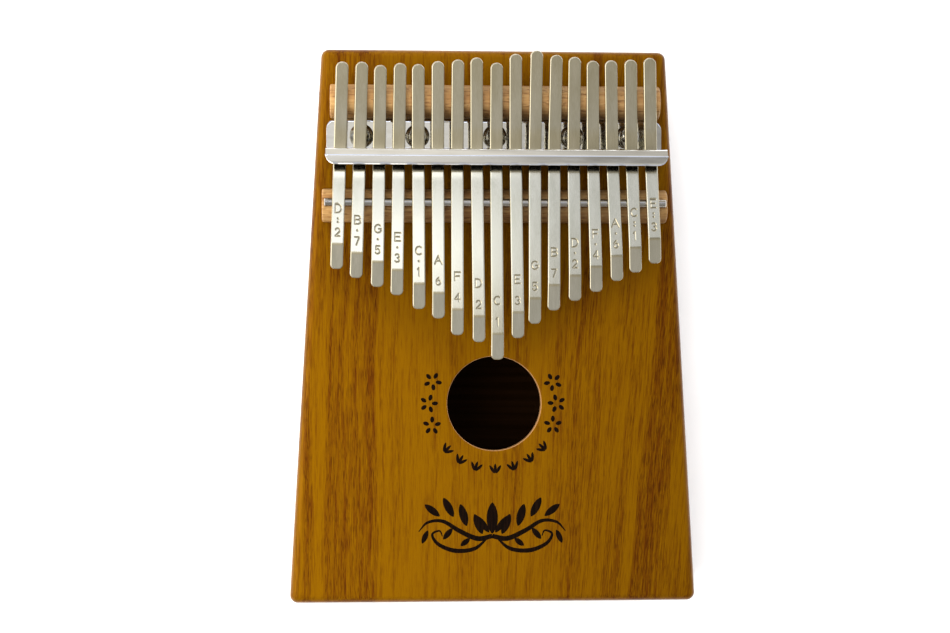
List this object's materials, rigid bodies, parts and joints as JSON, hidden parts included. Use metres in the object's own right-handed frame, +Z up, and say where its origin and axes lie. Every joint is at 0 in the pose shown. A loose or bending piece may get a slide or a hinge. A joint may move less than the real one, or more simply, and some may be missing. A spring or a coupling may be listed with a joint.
{
  "type": "mbira",
  "caption": "Box mbira: a hollow tapered wooden box with a sound hole, and steel keys that a slotted bracket holds down over two wooden bars.",
  "frame": {"origin": "middle of the box's underside, under the middle of its length and width", "axes": "+X across the keys from the d6 key to the e6 key, +Y towards the head where the bracket is, +Z up out of the soundboard"},
  "size_m": [0.1356, 0.184, 0.0508],
  "materials": {
    "lacquered_wood": "clear gloss lacquer over brown hardwood, grain along Y",
    "light_wood": "pale hardwood, sanded and left unvarnished",
    "rod_steel": "drawn bright steel",
    "bracket_chrome": "bright chrome plate on bent steel sheet",
    "screw_chrome": "bright plated steel",
    "spring_steel": "ground and nickel plated spring steel"
  },
  "bodies": {
    "box": {"soundboard": "lacquered_wood", "back_plate": "lacquered_wood", "left_side": "lacquered_wood", "right_side": "lacquered_wood", "head_block": "lacquered_wood", "tail_block": "lacquered_wood", "anchor_block": "light_wood", "back_bar": "light_wood", "front_bridge": "light_wood", "saddle_rod": "rod_steel", "tine_bracket": "bracket_chrome", "bracket_screws": "screw_chrome"},
    "key_01_d6": {"tine_01_d6": "spring_steel"},
    "key_02_b5": {"tine_02_b5": "spring_steel"},
    "key_03_g5": {"tine_03_g5": "spring_steel"},
    "key_04_e5": {"tine_04_e5": "spring_steel"},
    "key_05_c5": {"tine_05_c5": "spring_steel"},
    "key_06_a4": {"tine_06_a4": "spring_steel"},
    "key_07_f4": {"tine_07_f4": "spring_steel"},
    "key_08_d4": {"tine_08_d4": "spring_steel"},
    "key_09_c4": {"tine_09_c4": "spring_steel"},
    "key_10_e4": {"tine_10_e4": "spring_steel"},
    "key_11_g4": {"tine_11_g4": "spring_steel"},
    "key_12_b4": {"tine_12_b4": "spring_steel"},
    "key_13_d5": {"tine_13_d5": "spring_steel"},
    "key_14_f5": {"tine_14_f5": "spring_steel"},
    "key_15_a5": {"tine_15_a5": "spring_steel"},
    "key_16_c6": {"tine_16_c6": "spring_steel"},
    "key_17_e6": {"tine_17_e6": "spring_steel"}
  },
  "joints": [
    {"name": "pluck_01_d6", "type": "hinge", "parent": "box", "child": "key_01_d6", "pos_m": [-0.0512, 0.0405, 0.0426], "axis": [1, 0, 0], "range_deg": [0, 1.5], "stiffness_Nm_per_rad": 16.6},
    {"name": "pluck_02_b5", "type": "hinge", "parent": "box", "child": "key_02_b5", "pos_m": [-0.0448, 0.0405, 0.0426], "axis": [1, 0, 0], "range_deg": [0, 1.5], "stiffness_Nm_per_rad": 14.6},
    {"name": "pluck_03_g5", "type": "hinge", "parent": "box", "child": "key_03_g5", "pos_m": [-0.0384, 0.0405, 0.0426], "axis": [1, 0, 0], "range_deg": [0, 1.5], "stiffness_Nm_per_rad": 13.1},
    {"name": "pluck_04_e5", "type": "hinge", "parent": "box", "child": "key_04_e5", "pos_m": [-0.032, 0.0405, 0.0426], "axis": [1, 0, 0], "range_deg": [0, 1.5], "stiffness_Nm_per_rad": 11.9},
    {"name": "pluck_05_c5", "type": "hinge", "parent": "box", "child": "key_05_c5", "pos_m": [-0.0256, 0.0405, 0.0426], "axis": [1, 0, 0], "range_deg": [0, 1.5], "stiffness_Nm_per_rad": 10.4},
    {"name": "pluck_06_a4", "type": "hinge", "parent": "box", "child": "key_06_a4", "pos_m": [-0.0192, 0.0405, 0.0426], "axis": [1, 0, 0], "range_deg": [0, 1.5], "stiffness_Nm_per_rad": 9.6},
    {"name": "pluck_07_f4", "type": "hinge", "parent": "box", "child": "key_07_f4", "pos_m": [-0.0128, 0.0405, 0.0426], "axis": [1, 0, 0], "range_deg": [0, 1.5], "stiffness_Nm_per_rad": 8.4},
    {"name": "pluck_08_d4", "type": "hinge", "parent": "box", "child": "key_08_d4", "pos_m": [-0.0064, 0.0405, 0.0426], "axis": [1, 0, 0], "range_deg": [0, 1.5], "stiffness_Nm_per_rad": 8},
    {"name": "pluck_09_c4", "type": "hinge", "parent": "box", "child": "key_09_c4", "pos_m": [0, 0.0405, 0.0426], "axis": [1, 0, 0], "range_deg": [0, 1.5], "stiffness_Nm_per_rad": 7.1},
    {"name": "pluck_10_e4", "type": "hinge", "parent": "box", "child": "key_10_e4", "pos_m": [0.0064, 0.0405, 0.0426], "axis": [1, 0, 0], "range_deg": [0, 1.5], "stiffness_Nm_per_rad": 8.2},
    {"name": "pluck_11_g4", "type": "hinge", "parent": "box", "child": "key_11_g4", "pos_m": [0.0128, 0.0405, 0.0426], "axis": [1, 0, 0], "range_deg": [0, 1.5], "stiffness_Nm_per_rad": 9.2},
    {"name": "pluck_12_b4", "type": "hinge", "parent": "box", "child": "key_12_b4", "pos_m": [0.0192, 0.0405, 0.0426], "axis": [1, 0, 0], "range_deg": [0, 1.5], "stiffness_Nm_per_rad": 10.3},
    {"name": "pluck_13_d5", "type": "hinge", "parent": "box", "child": "key_13_d5", "pos_m": [0.0256, 0.0405, 0.0426], "axis": [1, 0, 0], "range_deg": [0, 1.5], "stiffness_Nm_per_rad": 11.3},
    {"name": "pluck_14_f5", "type": "hinge", "parent": "box", "child": "key_14_f5", "pos_m": [0.032, 0.0405, 0.0426], "axis": [1, 0, 0], "range_deg": [0, 1.5], "stiffness_Nm_per_rad": 12.4},
    {"name": "pluck_15_a5", "type": "hinge", "parent": "box", "child": "key_15_a5", "pos_m": [0.0384, 0.0405, 0.0426], "axis": [1, 0, 0], "range_deg": [0, 1.5], "stiffness_Nm_per_rad": 14.2},
    {"name": "pluck_16_c6", "type": "hinge", "parent": "box", "child": "key_16_c6", "pos_m": [0.0448, 0.0405, 0.0426], "axis": [1, 0, 0], "range_deg": [0, 1.5], "stiffness_Nm_per_rad": 15.9},
    {"name": "pluck_17_e6", "type": "hinge", "parent": "box", "child": "key_17_e6", "pos_m": [0.0512, 0.0405, 0.0426], "axis": [1, 0, 0], "range_deg": [0, 1.5], "stiffness_Nm_per_rad": 18.4}
  ]
}
